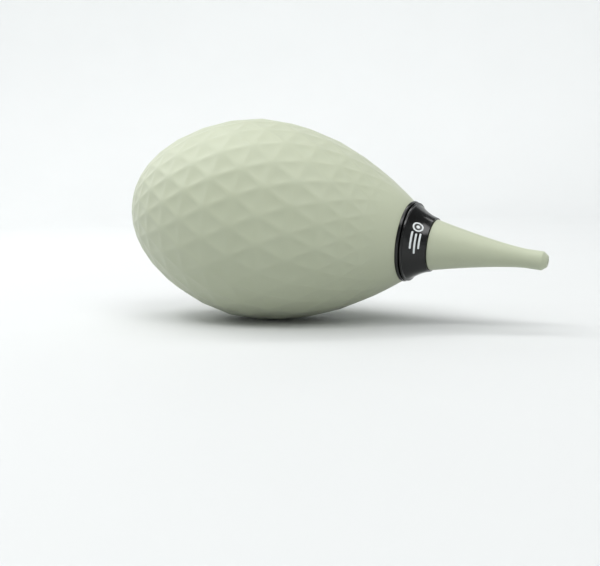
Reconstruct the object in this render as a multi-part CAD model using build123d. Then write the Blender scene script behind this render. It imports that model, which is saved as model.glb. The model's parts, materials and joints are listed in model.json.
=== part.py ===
"""Dust blower bulb: a faceted silicone squeeze bulb with a threaded neck, a screw-on collar that
holds a tapered nozzle, and a one-way intake valve with a filter in the tail.

Every piece is drawn about its own long axis: local Z runs from the tail to the nozzle tip, and
stations along it are distances from the ideal tip of the egg.  At the end the whole assembly is
laid down so that one belly facet lies flat on Z = 0, with the nozzle towards +X.
"""
from build123d import *
import math
import os

# ---------------------------------------------------------------- bulb, millimetres
FACETS_ROUND = 22            # triangles round each ring of the bulb
WIDEST_AT = 48.4             # station of the largest diameter
NECK_END = 105.4             # station of the bulb's mouth
WIDEST_R = 35.45             # largest radius, at the facet corners
TAIL_FULLNESS = (1.64, 0.46)  # exponents of the tail half of the egg
FRONT_FALL = 0.63            # share of the radius lost between the widest place and the mouth
RING_STATIONS = (2.4, 3.9, 6.0, 9.3, 13.9, 20.1, 28.3, 37.2, 46.8, 56.4, 65.7, 75.3, 84.0,
                 90.7, 96.0, 100.6, NECK_END)
REST_RINGS = (56.4, 65.7)    # the belly facet between these rings is the one it lies on
WALL = 2.6                   # silicone wall
TAIL_FACE = RING_STATIONS[0]
TAIL_WALL_END = 7.4          # inner face of the thick tail wall
MOUTH_WALL_START = 99.6      # inner face of the thick mouth wall

# ---------------------------------------------------------------- neck, collar and nozzle
FIT = 0.05                   # radial clearance of a running or press fit
GAP = 0.25                   # gap between pieces that move apart
BUSHING_R = 9.0              # bushing tube, in the bulb's mouth
BUSHING_FLANGE_R = 11.8
BUSHING_FLANGE_T = 2.0
BUSHING_BORE_R = 6.6
BUSHING_LEDGE_R = 5.9        # bore behind the valve seat
BUSHING_END = 111.9
THREAD_R = 8.6               # crest radius of the collar thread
NECK_RING_R = 13.4
NECK_RING_T = 1.15
COLLAR_START = NECK_END + NECK_RING_T + GAP
COLLAR_RIM_R = 13.0
COLLAR_STEP = 0.3            # small step between the rim band and the flare
COLLAR_RIM_T = 0.85
COLLAR_END = 114.3
COLLAR_END_R = 8.9
COLLAR_SAG = 0.5             # how far the flare dips below a straight cone
COLLAR_WEB_START = 112.9
COLLAR_HOLE_R = 7.6
NOZZLE_GROOVE_R = 7.5
NOZZLE_FLANGE_R = 8.35
NOZZLE_ROOT_R = 8.4          # just outside the collar
NOZZLE_END = 151.2
TIP_R = 3.0
TAPER_POWER = 1.33           # how soon the nozzle slims down from root to tip
TIP_LAND = 5.0               # straight part of the tip
TIP_CHAMFER = 1.6
TIP_FACE_R = 1.75
TIP_BORE_R = 0.9
TIP_BORE_LENGTH = 8.0
NOZZLE_ROOT_BORE_R = 5.6

# ---------------------------------------------------------------- valves, the same at both ends
SEAT_R = BUSHING_BORE_R - FIT
SEAT_T = 1.6
OUTLET_SEAT_AT = 102.8
INTAKE_SEAT_AT = 10.8
PORTS = 6
PORT_R = 1.1
PORT_CIRCLE_R = 3.5
STEM_R = 1.1
STEM_HOLE_R = STEM_R + FIT
FLAP_R = 5.3
FLAP_T = 0.6
FLAP_DOME = 0.35
FLAP_LIFT = 0.9
BARB_R = 1.7
BARB_T = 0.8
RETAINER_T = 1.3
RETAINER_BORE_R = 5.8

# ---------------------------------------------------------------- tail intake
HOUSING_FLANGE_R = 10.3
HOUSING_FACE = 2.0
HOUSING_SEAT = 4.4           # recess floor in the silicone
HOUSING_R = 8.6
HOUSING_END = 14.6
CAP_RECESS_R = 8.4
CAP_RECESS_FLOOR = 4.0
CAP_BORE_R = 6.9
LUG_GROOVE = (4.8, 6.1)      # stations of the bayonet groove
LUG_GROOVE_R = 7.6
LUG_ARC = 40.0               # degrees
LUG_ENTRY_ARC = 48.0
LUG_ENTRY_AT = -60.0         # turn from the locked lug to its entry slot
FILTER_BORE_END = 8.5
CAP_R = CAP_RECESS_R - 0.15
CAP_FACE = 1.7
CAP_UNDERSIDE = 3.1
CAP_SKIRT_R = CAP_BORE_R - 0.1
CAP_SKIRT_BORE_R = 5.5
CAP_SKIRT_END = 6.0
LUG_R = LUG_GROOVE_R - 0.15
LUG_STATIONS = (LUG_GROOVE[0] + 0.1, CAP_SKIRT_END)
CAP_SLOTS = 10
CAP_SLOT_W = 1.2
CAP_SLOT_L = 2.6
CAP_SLOT_CIRCLE_R = 5.0      # outside the coin slot and inside the skirt's reach
COIN_SLOT_W = 1.3            # slot across the cap for a coin or fingernail
COIN_SLOT_DEPTH = 0.7
ORING_R = 7.6
ORING_SECTION_R = 0.42
FILTER_R = CAP_BORE_R - 0.15
FILTER_PAD = (6.2, 8.1)
SCREEN_T = 0.3
SCREEN_HOLE_R = 0.42
SCREEN_PITCH = 1.35
NUT_R = 11.4
NUT_T = 2.2
NUT_NOTCHES = 6
NUT_NOTCH_W = 2.2
NUT_NOTCH_DEPTH = 1.1


# ---------------------------------------------------------------- helpers
def egg_radius(station):
    """Radius of the bulb's facet corners at a station on its axis."""
    if station < WIDEST_AT:
        reach = (WIDEST_AT - station) / WIDEST_AT
        return WIDEST_R * (1 - reach ** TAIL_FULLNESS[0]) ** TAIL_FULLNESS[1]
    reach = (station - WIDEST_AT) / (NECK_END - WIDEST_AT)
    return WIDEST_R * (1 - FRONT_FALL * reach ** 2)


def turned(*edges):
    """Solid of revolution about the long axis from edges that close a (radius, station) outline."""
    outline = Wire(list(edges))
    return revolve(Face(outline), axis=Axis.Z)


def turned_points(*points):
    """Solid of revolution from straight runs between (radius, station) points."""
    corners = [Vector(r, 0, s) for r, s in points]
    return turned(*Polyline(*corners, close=True).edges())


def ring(outer_r, inner_r, start, end):
    """Plain tube between two stations."""
    return turned_points((inner_r, start), (outer_r, start), (outer_r, end), (inner_r, end))


def disc(radius, start, end):
    """Plain disc between two stations."""
    return Pos(0, 0, start) * extrude(Circle(radius), end - start)


def around(count, radius, start_angle=0.0):
    """Places evenly spaced round the axis, each turned to face outwards."""
    step = 360 / count
    return [Rot(0, 0, start_angle + step * k) * Pos(radius, 0, 0) for k in range(count)]


def sector(radius, arc, start, end, centre_angle):
    """Pie slice of a disc, arc degrees wide, about centre_angle."""
    slice_face = make_face(Polyline(
        (0, 0),
        (2 * radius * math.cos(math.radians(arc / 2)), -2 * radius * math.sin(math.radians(arc / 2))),
        (2 * radius * math.cos(math.radians(arc / 2)), 2 * radius * math.sin(math.radians(arc / 2))),
        close=True))
    wedge = Pos(0, 0, start) * extrude(slice_face, end - start)
    return disc(radius, start, end) & (Rot(0, 0, centre_angle) * wedge)


# ---------------------------------------------------------------- bulb
def ring_corner(index, step):
    """Corner of the facet net: even rings start at local azimuth 0, odd rings half a step on."""
    station = RING_STATIONS[index]
    angle = 2 * math.pi * (step + 0.5 * (index % 2)) / FACETS_ROUND
    radius = egg_radius(station)
    return Vector(radius * math.cos(angle), radius * math.sin(angle), station)


def faceted_egg():
    """Closed solid bounded by the triangular facets and a flat face at each end."""
    faces = []
    for index in range(len(RING_STATIONS) - 1):
        lead = index % 2
        for step in range(FACETS_ROUND):
            low = [ring_corner(index, step), ring_corner(index, step + 1)]
            high = [ring_corner(index + 1, step), ring_corner(index + 1, step + 1)]
            faces.append(Face(Wire.make_polygon([low[0], low[1], high[lead]])))
            faces.append(Face(Wire.make_polygon([low[1 - lead], high[1], high[0]])))
    for index in (0, len(RING_STATIONS) - 1):
        corners = [ring_corner(index, step) for step in range(FACETS_ROUND)]
        faces.append(Face(Wire.make_polygon(corners)))
    return Solid(Shell(faces))


def cavity():
    """Air space of the bulb, one wall inside the facets."""
    def inner_point(station):
        rise = (egg_radius(station + 0.1) - egg_radius(station - 0.1)) / 0.2
        lean = math.hypot(1, rise)
        flat_r = egg_radius(station) * math.cos(math.pi / FACETS_ROUND)
        return Vector(flat_r - WALL / lean, 0, station + WALL * rise / lean)

    outer_stations = (4.6, 9.0, 17.0, 28.0, WIDEST_AT, 66.0, 82.0, 94.0, 101.8)
    wall_curve = Spline(*[inner_point(station) for station in outer_stations])
    start = wall_curve @ 0
    end = wall_curve @ 1
    body = turned(
        wall_curve,
        Line(end, (0, 0, end.Z)),
        Line((0, 0, end.Z), (0, 0, start.Z)),
        Line((0, 0, start.Z), start))
    return body & disc(2 * WIDEST_R, TAIL_WALL_END, MOUTH_WALL_START)


def bulb_shell():
    """Silicone bulb: thin wall, thick tail with a stepped hole, thick mouth."""
    shell = faceted_egg() - cavity()
    shell -= disc(HOUSING_FLANGE_R + FIT, TAIL_FACE - 1, HOUSING_SEAT)
    shell -= disc(HOUSING_R + FIT, TAIL_FACE - 1, TAIL_WALL_END + 1)
    shell -= disc(BUSHING_R + FIT, MOUTH_WALL_START - 1, NECK_END + 1)
    return shell


# ---------------------------------------------------------------- neck
def neck_bushing():
    """Flanged, threaded tube in the bulb's mouth, with a ledge for the valve seat."""
    flange_start = MOUTH_WALL_START - BUSHING_FLANGE_T
    thread_start = COLLAR_START - GAP / 2
    return turned_points(
        (BUSHING_LEDGE_R, flange_start),
        (BUSHING_FLANGE_R, flange_start),
        (BUSHING_FLANGE_R, MOUTH_WALL_START),
        (BUSHING_R, MOUTH_WALL_START),
        (BUSHING_R, thread_start),
        (THREAD_R, thread_start),
        (THREAD_R, BUSHING_END - 0.4),
        (THREAD_R - 0.4, BUSHING_END),
        (BUSHING_BORE_R, BUSHING_END),
        (BUSHING_BORE_R, OUTLET_SEAT_AT),
        (BUSHING_LEDGE_R, OUTLET_SEAT_AT))


def neck_ring():
    """Clamping ring with a rounded outer bead and a fine groove beside it."""
    start = NECK_END
    end = NECK_END + NECK_RING_T
    shoulder = NECK_RING_R - 0.4
    bore = BUSHING_R + FIT
    return turned(
        Line((bore, 0, start), (shoulder, 0, start)),
        ThreePointArc((shoulder, 0, start), (NECK_RING_R, 0, (start + end) / 2), (shoulder, 0, end)),
        Line((shoulder, 0, end), (bore, 0, end)),
        Line((bore, 0, end), (bore, 0, start)))


def nozzle_collar():
    """Screw collar: rounded rim band, small step, concave flare, and a web that traps the nozzle."""
    rim_end = COLLAR_START + COLLAR_RIM_T
    rim_mid = (COLLAR_RIM_R, 0, (COLLAR_START + rim_end) / 2)
    rim_low = COLLAR_RIM_R - 0.25
    flare_r = rim_low - COLLAR_STEP
    flare_mid = ((flare_r + COLLAR_END_R) / 2 - COLLAR_SAG, 0, (rim_end + COLLAR_END) / 2)
    bore = THREAD_R + FIT
    outline = [
        ThreePointArc((rim_low, 0, COLLAR_START), rim_mid, (rim_low, 0, rim_end)),
        Line((rim_low, 0, rim_end), (flare_r, 0, rim_end)),
        ThreePointArc((flare_r, 0, rim_end), flare_mid, (COLLAR_END_R, 0, COLLAR_END)),
        Line((COLLAR_END_R, 0, COLLAR_END), (COLLAR_HOLE_R, 0, COLLAR_END)),
        Line((COLLAR_HOLE_R, 0, COLLAR_END), (COLLAR_HOLE_R, 0, COLLAR_WEB_START)),
        Line((COLLAR_HOLE_R, 0, COLLAR_WEB_START), (bore, 0, COLLAR_WEB_START)),
        Line((bore, 0, COLLAR_WEB_START), (bore, 0, COLLAR_START)),
        Line((bore, 0, COLLAR_START), (rim_low, 0, COLLAR_START))]
    return turned(*outline)


def nozzle():
    """Tapered silicone nozzle: root flange under the collar, groove, slender cone, chamfered tip."""
    land_start = NOZZLE_END - TIP_CHAMFER - TIP_LAND
    land_end = NOZZLE_END - TIP_CHAMFER
    outside = COLLAR_END + 0.1
    bore_start = NOZZLE_END - TIP_BORE_LENGTH
    flange_end = COLLAR_WEB_START - 0.1
    reaches = [step / 6 for step in range(7)]
    taper = Spline(*[
        (TIP_R + (NOZZLE_ROOT_R - TIP_R) * (1 - reach) ** TAPER_POWER, 0,
         outside + (land_start - outside) * reach)
        for reach in reaches])
    points = [
        (TIP_R, land_start), (TIP_R, land_end), (TIP_FACE_R, NOZZLE_END), (TIP_BORE_R, NOZZLE_END),
        (TIP_BORE_R, bore_start), (NOZZLE_ROOT_BORE_R, BUSHING_END), (NOZZLE_FLANGE_R, BUSHING_END),
        (NOZZLE_FLANGE_R, flange_end), (NOZZLE_GROOVE_R, flange_end), (NOZZLE_GROOVE_R, outside),
        (NOZZLE_ROOT_R, outside)]
    straight = Polyline(*[Vector(r, 0, s) for r, s in points])
    return turned(taper, *straight.edges())


# ---------------------------------------------------------------- valve pieces
def valve_seat(start):
    """Ported disc with a centre hole for the flap's stem."""
    seat = disc(SEAT_R, start, start + SEAT_T)
    seat -= disc(STEM_HOLE_R, start - 1, start + SEAT_T + 1)
    for place in around(PORTS, PORT_CIRCLE_R):
        seat -= place * disc(PORT_R, start - 1, start + SEAT_T + 1)
    return seat


def valve_flap(start):
    """Umbrella flap: domed disc on the seat's front, stem through it, barb behind it."""
    face = start + SEAT_T + FIT
    barb_end = start - FLAP_LIFT - FIT
    crown = face + FLAP_T + FLAP_DOME
    return turned_points(
        (0, crown), (0, barb_end - BARB_T), (BARB_R * 0.6, barb_end - BARB_T), (BARB_R, barb_end),
        (STEM_R, barb_end), (STEM_R, face), (FLAP_R, face), (FLAP_R, face + FLAP_T),
        (FLAP_R * 0.6, crown - FLAP_DOME * 0.36), (STEM_R, crown))


def retainer(start):
    """Ring pressed in front of a valve seat."""
    return ring(SEAT_R, RETAINER_BORE_R, start + SEAT_T, start + SEAT_T + RETAINER_T)


# ---------------------------------------------------------------- tail intake
def intake_housing():
    """Flanged housing with a bayonet bore outside and a valve bore inside."""
    housing = turned_points(
        (CAP_RECESS_R, HOUSING_FACE),
        (HOUSING_FLANGE_R - 0.4, HOUSING_FACE),
        (HOUSING_FLANGE_R, HOUSING_FACE + 0.4),
        (HOUSING_FLANGE_R, HOUSING_SEAT),
        (HOUSING_R, HOUSING_SEAT),
        (HOUSING_R, HOUSING_END),
        (BUSHING_BORE_R, HOUSING_END),
        (BUSHING_BORE_R, INTAKE_SEAT_AT),
        (BUSHING_LEDGE_R, INTAKE_SEAT_AT),
        (BUSHING_LEDGE_R, FILTER_BORE_END),
        (CAP_BORE_R, FILTER_BORE_END),
        (CAP_BORE_R, LUG_GROOVE[1]),
        (LUG_GROOVE_R, LUG_GROOVE[1]),
        (LUG_GROOVE_R, LUG_GROOVE[0]),
        (CAP_BORE_R, LUG_GROOVE[0]),
        (CAP_BORE_R, CAP_RECESS_FLOOR),
        (CAP_RECESS_R, CAP_RECESS_FLOOR))
    for side in (0, 180):
        housing -= sector(LUG_GROOVE_R, LUG_ENTRY_ARC, CAP_RECESS_FLOOR - 0.1, LUG_GROOVE[0] + 0.1,
                          side + LUG_ENTRY_AT)
    return housing


def intake_cap():
    """Bayonet cap: slotted disc, skirt with two lugs, and a slot for a coin or fingernail."""
    cap = disc(CAP_R, CAP_FACE, CAP_UNDERSIDE)
    cap = chamfer(cap.edges().group_by(Axis.Z)[0], 0.35)
    cap += ring(CAP_SKIRT_R, CAP_SKIRT_BORE_R, CAP_UNDERSIDE, CAP_SKIRT_END)
    for side in (0, 180):
        lug = sector(LUG_R, LUG_ARC, *LUG_STATIONS, side)
        cap += lug - disc(CAP_SKIRT_BORE_R, *LUG_STATIONS)
    slot = Pos(0, 0, CAP_FACE - 1) * extrude(SlotOverall(CAP_SLOT_L, CAP_SLOT_W), 3)
    for place in around(CAP_SLOTS, CAP_SLOT_CIRCLE_R - CAP_SLOT_L / 2 + 0.3, 180 / CAP_SLOTS):
        cap -= place * slot
    coin_slot = SlotOverall(2 * CAP_R - 2, COIN_SLOT_W)
    groove = Pos(0, 0, CAP_FACE - 1) * extrude(coin_slot, 1 + COIN_SLOT_DEPTH)
    return cap - groove


def cap_oring():
    """O-ring between the cap and the recess floor."""
    middle = (CAP_UNDERSIDE + CAP_RECESS_FLOOR) / 2
    section = Plane.XZ * Pos(ORING_R, middle) * Circle(ORING_SECTION_R)
    return revolve(section, axis=Axis.Z)


def filter_pad():
    """Foam disc held down by the cap's skirt."""
    return disc(FILTER_R, *FILTER_PAD)


def filter_screen():
    """Thin perforated disc that keeps the foam off the valve."""
    start = FILTER_PAD[1]
    screen = disc(FILTER_R, start, start + SCREEN_T)
    holes = []
    for row in range(-3, 4):
        for column in range(-3, 4):
            x = SCREEN_PITCH * (column + 0.5 * (row % 2))
            y = SCREEN_PITCH * row * math.sqrt(3) / 2
            if math.hypot(x, y) < BUSHING_LEDGE_R - SCREEN_HOLE_R - 0.3:
                holes.append(Pos(x, y, 0) * disc(SCREEN_HOLE_R, start - 1, start + 1))
    return screen - holes


def tail_nut():
    """Nut on the housing's inner end, with spanner notches round its rim."""
    nut = ring(NUT_R, HOUSING_R + FIT, TAIL_WALL_END, TAIL_WALL_END + NUT_T)
    notch = Pos(0, 0, TAIL_WALL_END - 1) * extrude(Rectangle(2 * NUT_NOTCH_DEPTH, NUT_NOTCH_W), 5)
    for place in around(NUT_NOTCHES, NUT_R):
        nut -= place * notch
    return nut


# ---------------------------------------------------------------- assembly
NODES = {
    "bulb_shell": bulb_shell(),
    "neck_bushing": neck_bushing(),
    "neck_ring": neck_ring(),
    "nozzle_collar": nozzle_collar(),
    "nozzle": nozzle(),
    "outlet_seat": valve_seat(OUTLET_SEAT_AT),
    "outlet_flap": valve_flap(OUTLET_SEAT_AT),
    "outlet_retainer": retainer(OUTLET_SEAT_AT),
    "intake_housing": intake_housing(),
    "tail_nut": tail_nut(),
    "intake_seat": valve_seat(INTAKE_SEAT_AT),
    "intake_flap": valve_flap(INTAKE_SEAT_AT),
    "intake_retainer": retainer(INTAKE_SEAT_AT),
    "filter_screen": filter_screen(),
    "filter_pad": filter_pad(),
    "intake_cap": intake_cap(),
    "cap_oring": cap_oring(),
}


def rest_tilt():
    """Angle, in degrees, that the nozzle dips when the belly facet lies flat."""
    edge_s, corner_s = REST_RINGS
    edge_r = egg_radius(edge_s) * math.cos(math.pi / FACETS_ROUND)
    return math.degrees(math.atan2(edge_r - egg_radius(corner_s), corner_s - edge_s))


def lay_down():
    """Move that turns the long axis to +X, dips the nozzle, and centres the box over the origin."""
    turn = Rot(0, 90 + rest_tilt(), 0)
    box = Compound([turn * solid for solid in NODES.values()]).bounding_box()
    return Pos(-(box.min.X + box.max.X) / 2, 0, -box.min.Z) * turn


placement = lay_down()
os.makedirs("parts", exist_ok=True)
for name, solid in NODES.items():
    piece = placement * solid
    piece.label = name
    export_step(piece, f"parts/{name}.step")

tail_apex = placement * Pos(0, 0, 0)
tip = placement * Pos(0, 0, NOZZLE_END)
print("rest tilt, degrees:", round(rest_tilt(), 4))
print("axis point at station 0:", tail_apex.position)
print("axis point at the tip:", tip.position)
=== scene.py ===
"""Dust blower bulb in its studio.

A faceted sage silicone bulb with a black threaded neck, a screw collar, a tapered nozzle and a
one-way filtered intake in the tail.  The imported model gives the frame, the joints and the mounts.
Sizes are millimetres along and round the blower's long axis, unless a docstring says metres, and
LongAxis puts them in place.
"""

import json
import logging
import math
from collections.abc import Sequence
from dataclasses import dataclass, field
from enum import Enum
from typing import Any, NamedTuple

import bmesh
import bpy
from mathutils import Euler, Matrix, Vector


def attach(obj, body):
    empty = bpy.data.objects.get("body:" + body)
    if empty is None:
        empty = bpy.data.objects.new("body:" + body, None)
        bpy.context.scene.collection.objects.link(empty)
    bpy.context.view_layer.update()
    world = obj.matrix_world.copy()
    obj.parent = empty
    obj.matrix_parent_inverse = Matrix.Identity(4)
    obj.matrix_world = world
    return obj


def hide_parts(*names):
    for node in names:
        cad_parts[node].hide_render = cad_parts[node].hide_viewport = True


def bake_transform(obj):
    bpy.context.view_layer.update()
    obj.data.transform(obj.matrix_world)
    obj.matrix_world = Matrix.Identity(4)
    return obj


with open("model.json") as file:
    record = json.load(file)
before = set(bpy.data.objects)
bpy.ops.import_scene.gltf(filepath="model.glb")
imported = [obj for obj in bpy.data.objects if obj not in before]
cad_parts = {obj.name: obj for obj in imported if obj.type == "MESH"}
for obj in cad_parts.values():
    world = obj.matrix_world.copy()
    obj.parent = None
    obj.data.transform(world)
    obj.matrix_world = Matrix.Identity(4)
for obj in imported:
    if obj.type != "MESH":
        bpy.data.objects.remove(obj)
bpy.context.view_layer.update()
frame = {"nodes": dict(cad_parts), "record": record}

LOG = logging.getLogger("dust_blower")
MM = 0.001
FULL_TURN = 2 * math.pi
ON_AXIS = 1e-6                   # radius below which an outline point becomes a pole
LONGEST_ROUND = 0.49             # share of an edge that one rounded corner may take up
TIP_MOUNT_STATION = 147.1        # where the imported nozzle_tip mount sits on the long axis

MAP_RANGE = "ShaderNodeMapRange"
SPLIT = "ShaderNodeSeparateXYZ"
COMBINE = "ShaderNodeCombineXYZ"
POSITION = "GeometryNodeInputPosition"
INDEX = "GeometryNodeInputIndex"
SET_POSITION = "GeometryNodeSetPosition"

# Steps of arithmetic: a node's Blender type and its operation.
PLUS = "ShaderNodeMath.ADD"
MINUS = "ShaderNodeMath.SUBTRACT"
TIMES = "ShaderNodeMath.MULTIPLY"
OVER = "ShaderNodeMath.DIVIDE"
ROOT = "ShaderNodeMath.SQRT"
FLOOR = "ShaderNodeMath.FLOOR"
PINGPONG = "ShaderNodeMath.PINGPONG"
SINE = "ShaderNodeMath.SINE"
COSINE = "ShaderNodeMath.COSINE"
ARCTAN2 = "ShaderNodeMath.ARCTAN2"
IS_NEAR = "ShaderNodeMath.COMPARE"
ABOVE = "ShaderNodeMath.GREATER_THAN"
BELOW = "ShaderNodeMath.LESS_THAN"
SCALED = "ShaderNodeVectorMath.SCALE"

Point = tuple[float, float]      # radius and station
Place = tuple[float, float, float]
Colour = tuple[float, float, float, float]
Mesh = bpy.types.Mesh
Material = bpy.types.Material
Tree = bpy.types.NodeTree
Node = bpy.types.Node
Socket = bpy.types.NodeSocket


class Body(str, Enum):
    """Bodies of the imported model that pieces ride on."""

    ROOT = "root"
    OUTLET_VALVE = "outlet_valve"
    NOZZLE_UNIT = "nozzle_unit"
    COLLAR = "collar"
    TAIL_VALVE = "tail_valve"
    INTAKE_VALVE = "intake_valve"
    FILTER_CAP = "filter_cap"


class Slot(str, Enum):
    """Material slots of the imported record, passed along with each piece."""

    SAGE_SILICONE = "sage_silicone"
    BLACK_ABS = "black_abs"
    CLEAR_SILICONE = "clear_silicone"
    FILTER_FOAM = "filter_foam"
    STEEL_SCREEN = "steel_screen"
    BLACK_RUBBER = "black_rubber"


# ---- places
@dataclass(frozen=True)
class LongAxis:
    """The blower's long axis: local X down, Y across, Z from the tail to the tip."""

    origin: Vector
    along: Vector

    @classmethod
    def from_record(cls, record: dict[str, Any]) -> "LongAxis":
        """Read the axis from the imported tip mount.

        Args:
            record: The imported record.

        Returns:
            The axis, with its origin at station zero, in metres.
        """
        mount = next(m for m in record["mounts"] if m["name"] == "nozzle_tip")
        along = Vector(mount["axis"]).normalized()
        return cls(Vector(mount["pos_m"]) - along * TIP_MOUNT_STATION * MM, along)

    @property
    def matrix(self) -> Matrix:
        """Move from local millimetres to the row frame in metres.

        Returns:
            The matrix that does it.
        """
        across = Vector((0, 1, 0))
        down = across.cross(self.along)
        turn = Matrix((down, across, self.along)).transposed().to_4x4()
        return Matrix.Translation(self.origin) @ turn @ Matrix.Scale(MM, 4)

    def point(self, station: float) -> Vector:
        """Point on the axis at a station, in metres."""
        return self.origin + self.along * station * MM


AXIS = LongAxis.from_record(frame["record"])


# ---- nodes
def add_node(tree: Tree, kind: str, *fed: Any, inputs: dict[str | int, Any] | None = None,
             **settings: Any) -> Node:
    """Add one node, with its settings, values and links.

    Args:
        tree: The tree that takes the node.
        kind: The node's Blender type, with its operation after a point if it has one.
        fed: What its first inputs take, in order: values, sockets, or nodes, which feed the
            input from their first output.
        inputs: What its other inputs take, by name or number.
        settings: Attributes to set on the node.

    Returns:
        The new node.
    """
    kind, _, operation = kind.partition(".")
    node = tree.nodes.new(kind)
    if operation:
        node.operation = operation
    for name, value in settings.items():
        setattr(node, name, value)
    for key, value in (dict(enumerate(fed)) | (inputs or {})).items():
        if isinstance(value, Node):
            value = value.outputs[0]
        if isinstance(value, Socket):
            tree.links.new(value, node.inputs[key])
        else:
            node.inputs[key].default_value = value
    return node


def srgb(code: str) -> Colour:
    """Turn an sRGB hex value into a linear colour.

    Args:
        code: The colour, such as #B2B8A1.

    Returns:
        Its linear shares, with full alpha.
    """
    shares = [int(code[i:i + 2], 16) / 255 for i in (1, 3, 5)]
    linear = [c / 12.92 if c <= 0.04045 else ((c + 0.055) / 1.055) ** 2.4 for c in shares]
    return (*linear, 1.0)


def texture_scale(size_mm: float) -> float:
    """Scale of a noise or cell texture whose features are size_mm across."""
    return 1 / (size_mm * MM)


# ---- finishes
@dataclass(frozen=True)
class Finish:
    """A surface: its base values, a mottled colour, a mottled roughness and a fine grain."""

    name: str
    colour: str
    roughness: float
    ior: float
    mottle_and_pore_shade_colour: str
    metallic: float = 0.0
    mottle_mm: float = 9.0
    roughness_spread: float = 0.05
    grain_mm: float = 0.3
    grain_depth_mm: float = 0.006
    sheen: float = 0.0
    sheen_roughness: float = 0.5
    subsurface: float = 0.0
    subsurface_mm: float = 1.0
    scatter: Place = (1.0, 0.9, 0.6)     # how far red, green and blue travel under the surface
    specular: float = 0.5

    def build(self) -> Material:
        """Make the material.

        Returns:
            The material, ready for a mesh.
        """
        material = bpy.data.materials.new(self.name)
        material.use_nodes = True
        tree = material.node_tree
        shader = tree.nodes["Principled BSDF"].inputs
        for socket, value in {
                "IOR": self.ior, "Metallic": self.metallic, "Sheen Weight": self.sheen,
                "Sheen Roughness": self.sheen_roughness, "Subsurface Weight": self.subsurface,
                "Subsurface Scale": self.subsurface_mm * MM, "Subsurface Radius": self.scatter,
                "Specular IOR Level": self.specular}.items():
            shader[socket].default_value = value
        place = add_node(tree, "ShaderNodeTexCoord").outputs["Object"]
        for socket, pattern in (("Base Color", self.colour_of), ("Roughness", self.roughness_of),
                                ("Normal", self.normal_of)):
            tree.links.new(pattern(tree, place), shader[socket])
        return material

    def colour_of(self, tree: Tree, place: Socket) -> Socket:
        """Base colour drifting slowly towards the mottle colour.

        Args:
            tree: The material's tree.
            place: Object coordinates.

        Returns:
            The colour.
        """
        drift = add_node(tree, "ShaderNodeTexNoise", place, inputs={
            "Scale": texture_scale(self.mottle_mm), "Detail": 3.0})
        return add_node(tree, "ShaderNodeMix", drift, data_type="RGBA", inputs={
            6: srgb(self.colour), 7: srgb(self.mottle_and_pore_shade_colour)}).outputs[2]

    def roughness_of(self, tree: Tree, place: Socket) -> Socket:
        """Roughness that varies a little from place to place.

        Args:
            tree: The material's tree.
            place: Object coordinates.

        Returns:
            The roughness.
        """
        drift = add_node(tree, "ShaderNodeTexNoise", place, inputs={
            "Scale": texture_scale(self.mottle_mm / 3), "Detail": 4.0})
        return add_node(tree, MAP_RANGE, drift, inputs={
            "To Min": self.roughness - self.roughness_spread,
            "To Max": self.roughness + self.roughness_spread}).outputs[0]

    def normal_of(self, tree: Tree, place: Socket) -> Socket:
        """Fine grain left by the mould or the tool.

        Args:
            tree: The material's tree.
            place: Object coordinates.

        Returns:
            The bumped normal.
        """
        grain = add_node(tree, "ShaderNodeTexNoise", place, inputs={
            "Scale": texture_scale(self.grain_mm), "Detail": 2.0})
        return add_node(tree, "ShaderNodeBump", inputs={
            "Height": grain, "Strength": 1.0, "Distance": self.grain_depth_mm * MM}).outputs[0]


@dataclass(frozen=True)
class FoamFinish(Finish):
    """Open-cell foam: charcoal struts, with painted shade darkening into each open pore."""

    cell_mm: float = 0.7
    strut: Point = (0.1, 0.6)    # distances from a cell's middle where its strut begins and ends

    def colour_of(self, tree: Tree, place: Socket) -> Socket:
        """Colour with painted shade that darkens into each open cell, where the pore lies in
        shadow.

        Args:
            tree: The material's tree.
            place: Object coordinates.

        Returns:
            The colour.
        """
        cells = add_node(tree, "ShaderNodeTexVoronoi", place, inputs={
            "Scale": texture_scale(self.cell_mm)})
        # Painted shade: darkest at each cell's middle, where the open pore lies in shadow.
        depth = add_node(tree, MAP_RANGE, cells, *self.strut)
        return add_node(tree, "ShaderNodeMix", depth, data_type="RGBA", inputs={
            6: srgb(self.mottle_and_pore_shade_colour), 7: srgb(self.colour)}).outputs[2]


# Moulded silicone, spark-eroded mould: matte, faintly powdery, light passes a millimetre into it.
SAGE_SILICONE = Finish(
    "sage_silicone_matte_moulded", "#B2B8A1", 0.55, ior=1.41, mottle_and_pore_shade_colour="#ADB39B",
    mottle_mm=14.0, roughness_spread=0.04,
    grain_mm=0.35,               # the real grain of 0.1 mm is too fine to show, so drawn coarser
    grain_depth_mm=0.004, sheen=0.2, subsurface=0.05, subsurface_mm=0.8, specular=0.5)

# Injection-moulded ABS from a polished tool: near black, soft gloss with a faint haze.
BLACK_ABS = Finish(
    "black_abs_satin_moulded", "#070808", 0.2, ior=1.53, mottle_and_pore_shade_colour="#0A0B0B",
    roughness_spread=0.04, grain_mm=0.5, grain_depth_mm=0.0015, specular=0.4)

# Machined acetal: milky white with faint tool drift.
NATURAL_POM = Finish(
    "natural_acetal_turned", "#E4E1D6", 0.38, ior=1.48, mottle_and_pore_shade_colour="#DAD7CA",
    grain_mm=0.4, grain_depth_mm=0.003, subsurface=0.2, subsurface_mm=0.8)

# Soft translucent silicone of the valve flaps: waxy and pale.
CLEAR_SILICONE = Finish(
    "clear_silicone_pressed", "#D8D8CE", 0.42, ior=1.41, mottle_and_pore_shade_colour="#CFCFC3",
    grain_depth_mm=0.003, subsurface=0.5, subsurface_mm=0.9)

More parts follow.
